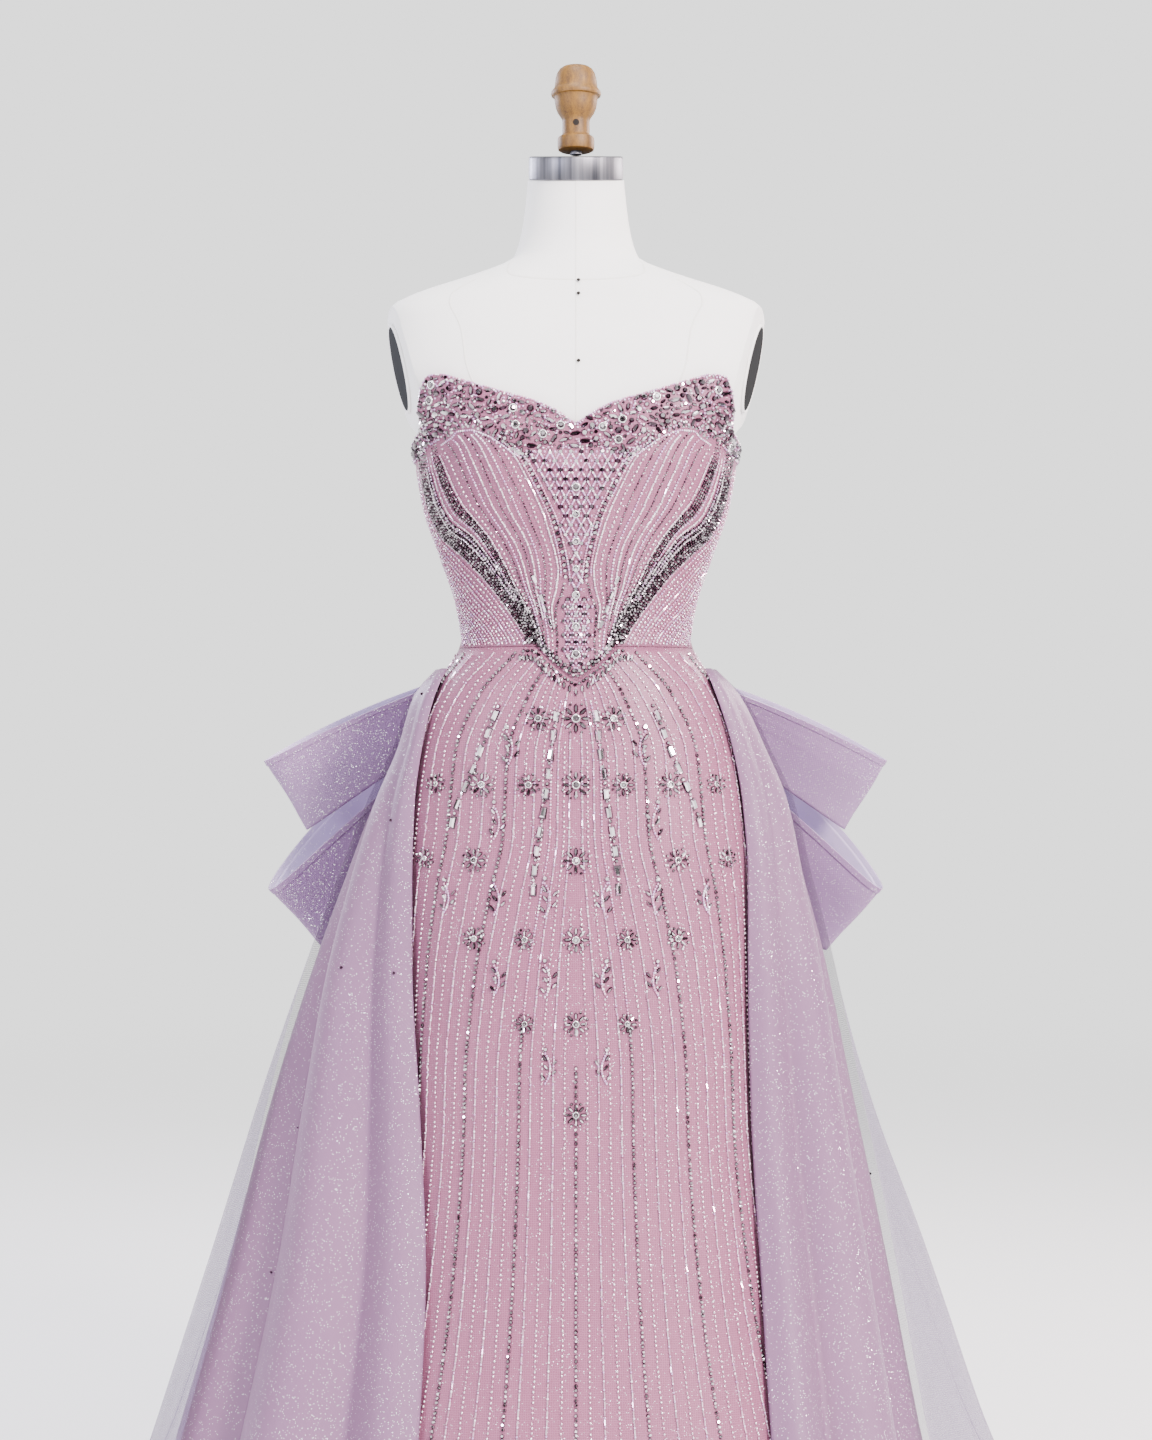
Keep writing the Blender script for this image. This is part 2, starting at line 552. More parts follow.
def strung_ring(count, place, radius):
    """A ring round the thread, which runs along X, at half the bead's height."""
    turns = -2 * math.pi * np.arange(count) / count
    return np.stack([np.full(count, place), radius * np.cos(turns),
                     0.5 + radius * np.sin(turns)], axis=-1)


def flat_ring(outline, scale, height):
    return np.column_stack([outline * scale, np.full(len(outline), height)])


SPINDLE = np.array([(-0.5, 0), (-0.22, -0.42), (0.22, -0.42), (0.5, 0), (0.22, 0.42),
                    (-0.22, 0.42)])
OBLONG = np.array([(-0.5, -0.5), (0.5, -0.5), (0.5, 0.5), (-0.5, 0.5)])
ROUND_STONE = bead_shape(GLASS, [round_ring(8, 0.5, 0.1), round_ring(8, 0.27, 1.0, 0.5)],
                         pointed=True)
BAGUETTE = bead_shape(GLASS, [flat_ring(OBLONG, (1, 1), 0.0), flat_ring(OBLONG, (0.96, 0.92), 0.5),
                              flat_ring(OBLONG, (0.76, 0.5), 1.0)])
NAVETTE = bead_shape(GLASS, [flat_ring(SPINDLE, 1, 0.1), flat_ring(SPINDLE, (0.62, 0.42), 1.0)])
STONE_CUP = bead_shape(PLATED, [round_ring(12, 0.5, 0.0), round_ring(12, 0.5, 0.55),
                                round_ring(12, 0.36, 0.75), round_ring(12, 0.32, 0.5)],
                       smooth=True, lid=False)
SEED, SILVER_SEED = (bead_shape(finish, [strung_ring(5, -0.45, 0.28), strung_ring(5, 0.0, 0.5),
                                         strung_ring(5, 0.45, 0.28)], smooth=True, lid=False)
                     for finish in (LINED, SILVERED))
BUGLE = bead_shape(SILVERED, [strung_ring(5, -0.5, 0.5), strung_ring(5, 0.5, 0.5)])

CUT_GLASS, tree, shader = new_finish("cut glass, foil-backed", {
    "Metallic": 1.0, "Roughness": 0.07})
lot = add_node(tree, "Attribute", attribute_name="tone").outputs["Fac"]
bright = add_node(tree, "Math", {0: lot, 1: 1.7}, operation="POWER")
tone = add_node(tree, "Mix", {0: bright, 6: STONE_TONES[0], 7: STONE_TONES[1]}, data_type="RGBA")
set_inputs(shader, {"Base Color": tone.outputs[2]})
LINED_GLASS, tree, shader = new_finish("glass seed beads, colour-lined", {
    "Roughness": 0.16, "IOR": 1.52, "Coat Weight": 0.6, "Coat Roughness": 0.05})
lot = add_node(tree, "Attribute", attribute_name="tone").outputs["Fac"]
lilac = add_node(tree, "MapRange", {"Value": lot, "From Min": 0.35, "From Max": 0.75})
clear = add_node(tree, "MapRange", {"Value": lot, "From Min": 0.75, "From Max": 1.0})
tone = add_node(tree, "Mix", {0: lilac, 6: "#c98aa9", 7: "#c096c8"}, data_type="RGBA")
tone = add_node(tree, "Mix", {0: clear, 6: tone.outputs[2], 7: "#fdf6fb"}, data_type="RGBA")
set_inputs(shader, {"Base Color": tone.outputs[2]})
SILVER_LINED, tree, shader = new_finish("glass bugles, silver-lined", {
    "Metallic": 0.55, "Roughness": 0.18, "Coat Weight": 0.8, "Coat Roughness": 0.04})
lot = add_node(tree, "Attribute", attribute_name="tone").outputs["Fac"]
tone = add_node(tree, "Mix", {0: lot, 6: "#c08fa9", 7: "#fbf3f9"}, data_type="RGBA")
set_inputs(shader, {"Base Color": tone.outputs[2]})
SILVER_CUP, tree, shader = new_finish("silver-plated stone cup", {
    "Metallic": 1.0, "Roughness": 0.22}, (2, "#dedbdc", "#f2f0f0"))
BEAD_FINISHES = [CUT_GLASS, LINED_GLASS, SILVER_LINED, SILVER_CUP]


def lay_beads(work, bead, spots, along, outward, size_mm, tones):
    """Add beads to a piece of work. A size is one for all, across and high, or length, width
    and height; tones are one for all, one for each, or a pair to draw between."""
    corners, faces, smooth, finish = bead
    count = len(spots)
    if not count:
        return
    if isinstance(tones, tuple):
        tones = random.uniform(*tones, count)
    size = np.asarray(size_mm, float) / 1000
    if size.shape == (2,):
        size = size[[0, 0, 1]]
    size = np.broadcast_to(size, (count, 3))
    shade = np.ones(len(corners))
    if finish in (GLASS, SILVERED):
        outward = outward + random.normal(0, STONE_TILT, outward.shape)
    if finish == GLASS:
        shade[corners[:, 2] < 0.5] = GIRDLE_SHADE
    outward = normalized(outward)
    along = normalized(along - outward * np.sum(along * outward, axis=-1, keepdims=True))
    across = np.cross(outward, along)
    local = corners[None] * size[:, None]
    placed = (spots[:, None] + along[:, None] * local[..., :1]
              + across[:, None] * local[..., 1:2] + outward[:, None] * local[..., 2:])
    work.append((placed, faces, smooth, finish, np.broadcast_to(tones, count)[:, None] * shade))


def lay_at(work, bead, place, way, size_mm, tones):
    """Lay beads at on_figure's spots; way is how far each points round and up the gown."""
    spots, round_way, up_way, outward = place
    round_share, up_share = (np.asarray(share, float)[..., None] for share in way)
    along = round_way * round_share + up_way * up_share
    lay_beads(work, bead, spots, along, outward, size_mm, tones)


def sew_on(name, work):
    """Join a piece of beadwork in one mesh, with each bead's tone."""
    corners, loops, sizes, finishes, smooths, tones = [], [], [], [], [], []
    base = 0
    for placed, faces, smooth, finish, tone in work:
        count, width = placed.shape[:2]
        corners.append(placed.reshape(-1, 3))
        offsets = base + width * np.arange(count)
        loops.append((offsets[:, None] + np.concatenate(faces)[None]).reshape(-1))
        sizes.append(np.tile([len(face) for face in faces], count))
        finishes.append(np.full(count * len(faces), finish))
        smooths.append(np.full(count * len(faces), smooth))
        tones.append(tone.reshape(-1))
        base += count * width
    corners, loops, sizes, finishes, smooths, tones = (
        np.concatenate(part) for part in (corners, loops, sizes, finishes, smooths, tones))
    mesh = bpy.data.meshes.new(name)
    mesh.vertices.add(len(corners))
    mesh.loops.add(len(loops))
    mesh.polygons.add(len(sizes))
    mesh.vertices.foreach_set("co", corners.reshape(-1))
    mesh.loops.foreach_set("vertex_index", loops.astype(np.int32))
    for field, values in (("loop_start", np.cumsum(sizes) - sizes), ("loop_total", sizes),
                          ("material_index", finishes)):
        mesh.polygons.foreach_set(field, values.astype(np.int32))
    mesh.polygons.foreach_set("use_smooth", smooths)
    mesh.attributes.new("tone", "FLOAT", "POINT").data.foreach_set("value", tones)
    mesh.update(calc_edges=True)
    for finish in BEAD_FINISHES:
        mesh.materials.append(finish)
    enter(new_object(name, mesh))


def string_beads(work, bead, angle, z, pitch_mm, size_mm, tones=(0.0, 1.0), out=GOWN_OUT,
                 jitter=0.06, first=0.5):
    """Sew beads at an even pitch along a line of angles and heights on the gown."""
    line = figure_point(angle, z, out)
    lengths = np.concatenate([[0], np.cumsum(np.linalg.norm(np.diff(line, axis=0), axis=1))])
    pitch = pitch_mm / 1000
    count = int((lengths[-1] - first * pitch) / pitch)
    if count < 1:
        return
    target = (np.arange(count) + first) * pitch + random.normal(0, jitter * pitch, count)
    behind, at, ahead = ((np.interp(target + step, lengths, angle),
                          np.interp(target + step, lengths, z)) for step in (-1e-3, 0.0, 1e-3))
    along = figure_point(*ahead, out) - figure_point(*behind, out)
    lay_beads(work, bead, figure_point(*at, out), along, on_figure(*at, out)[3], size_mm, tones)


def cup_stones(work, spots, along, outward, across_mm):
    """Round stones, each set in a silver-plated cup."""
    lay_beads(work, STONE_CUP, spots, along, outward, across_mm * np.array([1, 1, 0.42]), 0.5)
    lay_beads(work, ROUND_STONE, spots + outward * across_mm * 0.00012, along, outward,
              across_mm * np.array([0.7, 0.7, 0.38]), (0.2, 1.0))


BAND_DEPTH = [               # degrees from the centre front, and the band's depth in metres
    (0.0, 0.027), (4.0, 0.038), (8.0, 0.046), (11.0, 0.052), (14.0, 0.060), (20.0, 0.059),
    (23.0, 0.056), (29.5, 0.051), (43.5, 0.050), (50.0, 0.042), (54.0, 0.035), (60.0, 0.028),
    (72.0, 0.022), (95.0, 0.016), (180.0, 0.013),
]
BAND_MIX = [                 # what is packed in: width mm, length mm, how many tries
    (NAVETTE, 5.8, 12.5, 150), (STONE_CUP, 9.0, 9.0, 70), (ROUND_STONE, 7.5, 7.5, 220),
    (NAVETTE, 4.8, 9.5, 600), (ROUND_STONE, 5.6, 5.6, 900), (NAVETTE, 3.7, 7.4, 1100),
    (ROUND_STONE, 4.0, 4.0, 3000), (ROUND_STONE, 3.0, 3.0, 2500),
]
EDGE_SEED_RISE = 0.0012       # the seed beads of the bed stand this far past the band's edges


def band_depth(angle):
    return smooth_table(BAND_DEPTH, np.abs(np.degrees(angle)))


def pack_band(work, angle_from, angle_to, share_of_tries, seeds):
    """Pack stones of all sizes into a stretch of the neckline, the largest first."""
    taken, radii = np.zeros((0, 3)), np.zeros(0)
    low, high = sorted((math.radians(angle_from), math.radians(angle_to)))
    mix = [(bead, width, length, int(tries * share_of_tries))
           for bead, width, length, tries in BAND_MIX]
    for bead, width, length, tries in mix + [(SEED, SEED_MM, SEED_MM, seeds)]:
        angle = random.uniform(low, high, tries)
        inset = width * 0.0005 - (EDGE_SEED_RISE if bead is SEED else 0.0)
        depth = random.uniform(0, 1, tries) * (band_depth(angle) - 2 * inset) + inset
        place = on_figure(angle, neckline_z(angle) - depth, GOWN_OUT + BAND_RAISE)
        reach = (width + length) / 4000 * (0.86 if bead is SEED else 0.94)
        kept = []
        for i, spot in enumerate(place[0]):
            clear = np.linalg.norm(taken - spot, axis=1) > radii + reach
            if clear.all():
                kept.append(i)
                taken = np.vstack([taken, spot])
                radii = np.append(radii, reach)
        if not kept:
            continue
        spots, round_way, up_way, outward = (part[kept] for part in place)
        turn = random.normal(0, 0.7, len(kept))[:, None]
        along = round_way * np.cos(turn) + up_way * np.sin(turn)
        tones = random.uniform(0.05, 1, len(kept))
        if bead is STONE_CUP:
            cup_stones(work, spots, along, outward, width)
        elif bead is SEED:
            lay_beads(work, SEED, spots, along, outward, SEED_MM, 0.4 + 0.6 * tones)
        else:
            lay_beads(work, bead, spots, along, outward, (length, width, width / 2), tones)


neckline_front = []
pack_band(neckline_front, -95, 95, 1.0, 8200)
for side in (1, -1):
    angle = np.radians(np.linspace(14, 53, 80)) * side
    z = neckline_z(angle) - band_depth(angle) - 0.0015
    string_beads(neckline_front, ROUND_STONE, angle, z, 5.6, (5.0, 2.6), (0.2, 1.0))
    string_beads(neckline_front, SEED, angle, z - 0.004, 2.6, SEED_MM, (0.5, 1.0))
    angle = np.radians(np.linspace(0.5, 95, 300)) * side
    string_beads(neckline_front, SEED, angle, neckline_z(angle) + 0.0002, SEED_MM, SEED_MM,
                 out=GOWN_OUT - 0.0004, jitter=0.2)
sew_on("beads_neckline_front", neckline_front)

neckline_back = []
for side in (1, -1):
    pack_band(neckline_back, side * 95.3, side * 178.6, 0.12, 1400)
    angle = np.radians(np.linspace(95.5, 178.8, 200)) * side
    for drop in (0.0, 0.0155):
        string_beads(neckline_back, ROUND_STONE, angle, neckline_z(angle) - drop, 3.4,
                     (CHAIN_STONE_MM, 1.7))
sew_on("beads_neckline_back", neckline_back)

# Bodice embroidery. Dark bands of packed stones cover the princess seams and narrower
# ones run inside them; between them fine rows of seed beads and bugles sweep from the
# bust to the pointed waist. The middle holds a plain lattice of seed beads and stones.
INNER_BAND = [                # share of the way up the bodice, and of the way to the seam
    (0.0, 0.90), (0.095, 0.86), (0.17, 0.78), (0.234, 0.763), (0.325, 0.72), (0.405, 0.713),
    (0.569, 0.747), (0.693, 0.77), (0.80, 0.80),
]
OUTLINE = [
    (0.0, 0.40), (0.10, 0.30), (0.20, 0.24), (0.30, 0.12), (0.393, 0.07), (0.545, 0.10),
    (0.648, 0.162), (0.741, 0.24), (0.80, 0.36),
]
DARK_EDGE = 0.96              # where the dark band begins, as a share of the way to the seam
ROWS_BETWEEN = 11             # fine rows between the outline and the inner band
OUTER_ROWS = 4                # fine rows between the inner and the dark band
SIDE_ROWS = 22                # fine rows beyond the dark band
SIDE_ROW_GAP = 0.0062
DARK_ROWS = 9                 # rows of stones in each dark band
INNER_ROWS = 4                # rows of stones in each inner band
DARK_TONES = (0.0, 0.72)
BODICE_GLOW = 0.35            # the bodice's glass is paler than the skirt's


def below_band(angle, z, clear=0.003):
    """The rows stop at the encrusted neckline and at the waist seam."""
    return (z < neckline_z(angle) - band_depth(angle) - clear) & (z > waist_z(angle) + 0.0003)


def fine_row(work, angle, z, style, allowed, glow=0.0):
    """One fine row, kept where it is allowed; glow makes its glass paler."""
    edges = np.flatnonzero(np.diff(np.concatenate([[0], allowed.astype(int), [0]])))
    for start, end in zip(edges[::2], edges[1::2]):
        if end - start < 6:
            continue
        line = (angle[start:end], z[start:end])
        if style == "bugles":
            pitch = BUGLE_MM[0] + BUGLE_GAP_MM
            string_beads(work, BUGLE, *line, pitch, (BUGLE_MM[0], BUGLE_MM[1], BUGLE_MM[1]),
                         (glow, 0.45 + glow), jitter=0.03)
            string_beads(work, SEED, *line, pitch, SEED_MM, (0.5 + glow, 1.0), jitter=0.03,
                         first=1.0)
        elif style == "seeds":
            string_beads(work, SEED, *line, SEED_MM + 0.9, SEED_MM, (0.1 + glow, 1.0))
        elif style == "stones":
            string_beads(work, ROUND_STONE, *line, SEED_MM + 0.7, (SEED_MM, 1.6), (0.1, 0.9))
        else:
            string_beads(work, SILVER_SEED, *line, SEED_MM * 2.1, SEED_MM + 0.1, (0.2 + glow, 0.9))


def row_gap(angle, z, other_angle, other_z):
    return np.linalg.norm(figure_point(angle, z, GOWN_OUT)
                          - figure_point(other_angle, other_z, GOWN_OUT), axis=-1)


def beside(angle, rise, metres):
    """A line up the bodice, moved round it; gives its angles and heights."""
    step = 1e-3
    z = bodice_z(angle, rise)
    round_it = figure_point(angle + step, z, GOWN_OUT) - figure_point(angle - step, z, GOWN_OUT)
    angle = angle + metres * (2 * step / np.linalg.norm(round_it, axis=-1))
    return angle, bodice_z(angle, rise)


rise = np.linspace(0.0, 0.95, 262)
seam = princess_angle(rise)
inner = seam * smooth_table(INNER_BAND, rise)
outline = seam * smooth_table(OUTLINE, rise)
outline_z = bodice_z(outline, rise)
bodice_lines = []
for side in (1, -1):
    room = row_gap(outline, outline_z, inner, bodice_z(inner, rise)) / (ROWS_BETWEEN + 1)
    for row in range(1, ROWS_BETWEEN + 1):
        angle = (outline + (inner - outline) * row / (ROWS_BETWEEN + 1)) * side
        z = bodice_z(angle, rise)
        least = 0.0012 if row % 4 == 0 else 0.0018 if row % 2 == 0 else 0.0030
        style = "stones" if row % 3 == 0 else ("seeds", "bugles", "spaced", "bugles")[row % 4]
        fine_row(bodice_lines, angle, z, style, below_band(angle, z) & (room > least), BODICE_GLOW)
    for row in range(1, OUTER_ROWS + 1):
        angle = (inner + (seam * DARK_EDGE - inner) * row / (OUTER_ROWS + 1)) * side
        z = bodice_z(angle, rise)
        room = row_gap(inner, z, seam * DARK_EDGE, z) / (OUTER_ROWS + 1)
        allowed = below_band(angle, z) & (room > (0.0022 if row % 2 else 0.0032))
        fine_row(bodice_lines, angle, z, ("bugles", "seeds")[row % 2], allowed, BODICE_GLOW)
    for row in range(1, SIDE_ROWS + 1):
        tight = 0.78 + 0.22 * ease_between(rise, 0, 0.25)
        angle, z = beside(seam, rise, (0.009 + (row - 1) * SIDE_ROW_GAP) * tight)
        allowed = below_band(angle, z) & (angle < SIDE_SEAM - 0.004)
        style = ("seeds", "bugles", "seeds", "spaced")[row % 4]
        fine_row(bodice_lines, angle * side, z, style, allowed)
sew_on("beads_bodice_rows", bodice_lines)

BAGUETTE_LINE = [(17.1, 1.1367), (14.7, 1.118), (12.5, 1.1016), (9.6, 1.0811), (8.0, 1.062)]
bodice_bands = []
for side in (1, -1):
    dark_rise = np.linspace(0.0, 0.97, 260)
    wide = 0.0024 + 0.0008 * np.sin(math.pi * dark_rise)
    for row in range(DARK_ROWS):
        angle, z = beside(princess_angle(dark_rise) * side, dark_rise,
                          side * (row - 0.6 * DARK_ROWS) * wide)
        allowed = (z < neckline_z(angle) - 0.010) & (z > waist_z(angle) + 0.0015)
        string_beads(bodice_bands, ROUND_STONE, angle[allowed], z[allowed], 3.25,
                     (CHAIN_STONE_MM, 2.0), DARK_TONES, first=0.5 + 0.5 * (row % 2))
    for row in range(INNER_ROWS):
        angle, z = beside(inner * side, rise, side * (row - 1.5) * 0.0027)
        allowed = below_band(angle, z, -0.004) & (rise > 0.06)
        string_beads(bodice_bands, ROUND_STONE, angle[allowed], z[allowed], 3.0, (2.8, 1.9),
                     DARK_TONES, first=0.5 + 0.5 * (row % 2))
    angle, z = outline * side, outline_z
    upper = below_band(angle, z, -0.001) & (rise > 0.36)
    string_beads(bodice_bands, ROUND_STONE, angle[upper], z[upper], 6.2, (5.4, 2.8), (0.3, 1.0))
    for offset in (-0.0042, 0.0042):
        edge, edge_z = beside(angle, rise, side * offset)
        string_beads(bodice_bands, SEED, edge[upper], edge_z[upper], 2.7, SEED_MM)
    lower = (rise < 0.36) & (z > waist_z(angle) + 0.003)
    string_beads(bodice_bands, ROUND_STONE, angle[lower], z[lower], 3.3, (3.0, 1.8))
    places = np.linspace(0, 4, 60)
    angle, z = (np.interp(places, range(5), column) for column in np.transpose(BAGUETTE_LINE))
    angle = np.radians(angle) * side
    string_beads(bodice_bands, BAGUETTE, angle, z, 15.5, (8.5, 4.4, 2.6), (0.75, 1.0), first=0.4)
    string_beads(bodice_bands, ROUND_STONE, angle, z, 15.5, (3.6, 2.0), (0.5, 1.0), first=0.9)


def on_front(x, z, out):
    """Spots on the front, a distance x from the centre line, as on_figure gives them."""
    half = smooth_table(FIGURE, z) + out
    square = smooth_table(FIGURE, z, 4)
    turn = np.sign(x) * np.arcsin(np.clip(np.abs(x) / half, 0, 1) ** (square / 2))
    return on_figure(turn, z, out)


def lattice(work, half_width, z_low, z_high, step, stone_mm):
    """A diamond lattice of seed beads with a stone on each crossing, between two limits."""
    rows = int((z_high - z_low) / step)
    gap = step * 1.15
    margin = 0.0035
    for row in range(rows + 1):
        z = z_low + row * step
        places = (np.arange(-8, 9) + 0.5 * (row % 2)) * gap
        places = places[np.abs(places) < half_width(z) - margin]
        lay_at(work, ROUND_STONE, on_front(places, z, GOWN_OUT), (1, 0), (stone_mm, 2.6),
               (0.0, 1.0))
        lay_at(work, SEED, on_front(places + gap / 2, z, GOWN_OUT), (0, 1), 2.6, (0.5, 1.0))
        for way in (-1, 1):
            for start in places:
                if row == rows or abs(start + way * gap / 2) > half_width(z + step) - margin:
                    continue
                part = np.linspace(0.3, 0.7, 2 if step < 0.008 else 3)
                strand = on_front(start + way * gap / 2 * part, z + part * step, GOWN_OUT)
                lay_at(work, SEED, strand, (way, 1), 2.4, (0.4, 1.0))


def outline_half(z):
    return np.interp(z, outline_z, figure_point(outline, outline_z, GOWN_OUT)[:, 0])


lattice(bodice_bands, outline_half, 1.122, 1.256, 0.0088, 6.0)
lattice(bodice_bands, lambda z: 0.0185 * min(1.0, (z - 1.033) / 0.02), 1.042, 1.114, 0.0070, 5.6)
stone_z = np.array([1.058, 1.086, 1.1165, 1.142, 1.168, 1.194, 1.220])
spots, round_way, up_way, outward = on_figure(0.0, stone_z, GOWN_OUT + 0.0008)
cup_stones(bodice_bands, spots, round_way, outward,
           np.array([9.0, 8.0, 8.5, 7.0, 7.5, 8.0, 8.5])[:, None])
waist_turn = np.radians(np.linspace(-24, 24, 130))
for climb, stone_mm in ((0.0035, 4.4), (0.0082, 5.2), (-0.0042, 4.0)):
    string_beads(bodice_bands, ROUND_STONE, waist_turn, waist_z(waist_turn) + climb,
                 stone_mm + 0.3, (stone_mm, stone_mm * 0.55), (0.1, 1.0))
fringe = np.radians(np.linspace(-24, 24, 27))
lay_at(bodice_bands, NAVETTE, on_figure(fringe, waist_z(fringe) - 0.0115, GOWN_OUT),
       (np.sin(fringe) * 0.9, 1), (9.0, 4.2, 2.4), (0.1, 1.0))
sew_on("beads_bodice_bands", bodice_bands)

# Centre-back zip. A concealed nylon coil zip, sewn behind the seam; only its small
# nickel-plated slider and pull show, at the top of the closed seam.
TAPE_THREAD_MM = 1.2          # real threads lie 0.3 mm apart, too fine to show
ZIP_TAPE, tree, shader = new_finish("woven polyester zip tape", {"Roughness": 0.75},
                                    (6, "#c79fb0", "#bd95a7"))
set_inputs(shader, {"Normal": plain_weave(tree, TAPE_THREAD_MM, 0.3, 0.0002)})
SLIDER, tree, shader = new_finish("nickel-plated zip slider", {
    "Metallic": 1.0, "Roughness": 0.28}, (3, "#a9a4a5", "#c9c5c6"))
SLIDER_PARTS = {              # height, distance out and half sizes in metres
    "zip_slider": (1.2385, 0.0018, (0.0028, 0.0018, 0.0042)),
    "zip_pull": (1.2265, 0.0016, (0.0020, 0.0007, 0.0085)),
}
z = np.linspace(0.955, 1.258, 60)
turn = math.pi + np.radians(np.linspace(-5, 5, 9))
tape = cloth_grid("zip_tape", figure_point(turn[:, None], z[None, :], 0.0012), ZIP_TAPE, 0.0008)
enter(tape, "back_zip")
turn = np.linspace(0, 2 * math.pi, 25)[:, None]
climb = np.linspace(-math.pi / 2, math.pi / 2, 13)[None, :]
for name, (height, out, half) in SLIDER_PARTS.items():
    centre = figure_point(math.pi, height, GOWN_OUT + out)
    spread = np.cos(climb) ** 0.4
    body = np.stack([half[0] * spread * signed_power(np.cos(turn), 0.5),
                     half[1] * spread * signed_power(np.sin(turn), 0.5),
                     half[2] * signed_power(np.sin(climb), 0.5) + 0 * turn], axis=-1)
    enter(cloth_grid(name, centre + body, SLIDER))

# Skirt. Three panels of the same tulle over satin, fitted past the knee and flared below,
# sewn at the sides and the centre back, and to the bodice at a pointed waist.
HEM_Z = 0.012
SKIRT_WALL = 0.0016


def skirt_z(angle, drop):
    top = waist_z(angle) - WAIST_GAP / 2
    return top + (HEM_Z - top) * drop


drops = np.linspace(1, 0, 101)
side_turn = SIDE_SEAM - SEAM_ANGLE
skirt_angles = {"skirt_front": np.linspace(-side_turn, side_turn, 145)}
skirt_angles["skirt_back_left"] = np.linspace(SIDE_SEAM + SEAM_ANGLE, math.pi - SEAM_ANGLE, 61)
skirt_angles["skirt_back_right"] = -skirt_angles["skirt_back_left"]
for node, turn in skirt_angles.items():
    points = figure_point(turn[:, None], skirt_z(turn[:, None], drops[None, :]), GOWN_OUT)
    panel = cloth_grid(f"{node}_cloth", points, SATIN, SKIRT_WALL, flip=node.endswith("right"))
    enter(panel, node)

# Skirt embroidery. Chains of cut stones run from waist to hem, with rows of seed beads, bugles
# and spaced beads between them and two pairs of baguette rows on the hips. Leaf sprigs and
# rosettes, a plain half-drop repeat, cover the upper front and thin out downward.
ROWS_PER_HALF = 22
CLOSEST_ROWS = 0.0046
ROWS_UNDER_SEAM = 0.0006      # the rows begin this far below the waist seam
BACK_SKIRT_ROWS = 12
BACK_BODICE_ROWS = 15
GATHER = [                    # how strongly the rows crowd to the middle, by height
    (0.012, 1.0), (0.64, 1.0), (0.74, 1.1), (0.82, 1.3), (0.885, 1.5), (0.96, 1.5),
    (1.02, 1.85), (1.04, 2.15), (1.066, 2.8),
]
BAGUETTE_ROWS = [             # height, and share of the half front
    [(0.82, 0.17), (0.92, 0.125), (1.02, 0.08)], [(0.885, 0.52), (0.96, 0.42), (1.03, 0.33)],
]
levels = np.linspace(HEM_Z + 0.003, WAIST_Z, 240)
round_angles = np.linspace(0, SIDE_SEAM, 120)
rings = figure_point(round_angles[None, :], levels[:, None], GOWN_OUT)
reached = np.cumsum(np.linalg.norm(np.diff(rings, axis=1), axis=-1), axis=1)
reached = np.concatenate([np.zeros((len(levels), 1)), reached], axis=1)
gather = smooth_table(GATHER, levels)


def row_angles(row):
    """Angles, level by level, of one of the rows between the middle and the side."""
    places = (row / (ROWS_PER_HALF + 0.6)) ** gather * reached[:, -1]
    return np.array([np.interp(place, run, round_angles) for place, run in zip(places, reached)])


skirt_front_rows = []
skirt_chains = []
for row in range(ROWS_PER_HALF + 1):
    angle = row_angles(row)
    room = row_gap(angle, levels, row_angles(max(row - 1, 0)), levels)
    below_seam = levels < waist_z(angle) - ROWS_UNDER_SEAM
    begins = {0: 0.66, 5: 0.70}.get(row, 1.07)
    least = CLOSEST_ROWS * (0.7 if row % 5 and row % 2 == 0 else 1.0)
    if row % 5:
        least = np.maximum(least * (1 - 0.45 * ease_between(levels, 1.02, 1.06)), SEED_MM / 1000)
    for side in ((1,) if row == 0 else (1, -1)):
        line = angle[::-1] * side
        allowed = (below_seam & (room > least))[::-1]
        if row % 5:
            style = ("", "spaced", "bugles", "spaced", "bugles")[row % 5]
            fine_row(skirt_front_rows, line, levels[::-1], style, allowed)
            continue
        chain = (below_seam & (levels < begins))[::-1]
        string_beads(skirt_chains, ROUND_STONE, line[chain], levels[::-1][chain], 4.6, (4.3, 2.4),
                     (0.4, 1.0))
        fine_row(skirt_front_rows, line, levels[::-1], "seeds",
                 allowed & (levels[::-1] >= begins))
sew_on("beads_skirt_front_rows", skirt_front_rows)

baguette_lines = []
for path in BAGUETTE_ROWS:
    z = np.linspace(path[0][0], path[-1][0], 80)
    share = smooth_table(path, z)
    angle = np.array([np.interp(s * run[-1], run, round_angles)
                      for s, run in zip(share, reached[np.searchsorted(levels, z)])])
    baguette_lines.append((z, figure_point(angle, z, GOWN_OUT)[:, 0]))
    for side in (1, -1):
        for bead, size_mm, tones, raised, jitter, first in (
                (BAGUETTE, (12.4, 7.2, 1.2), (0.1, 0.3), 0.0, 0, 0.4),
                (BAGUETTE, (10.5, 5.4, 3.2), (0.9, 1.0), 0.0004, 0, 0.4),
                (ROUND_STONE, (4.4, 2.4), (0.4, 1.0), 0.0004, 0.06, 0.9)):
            string_beads(skirt_chains, bead, angle * side, z, 19.0, size_mm, tones,
                         GOWN_OUT + raised, jitter, first)
sew_on("beads_skirt_chains", skirt_chains)

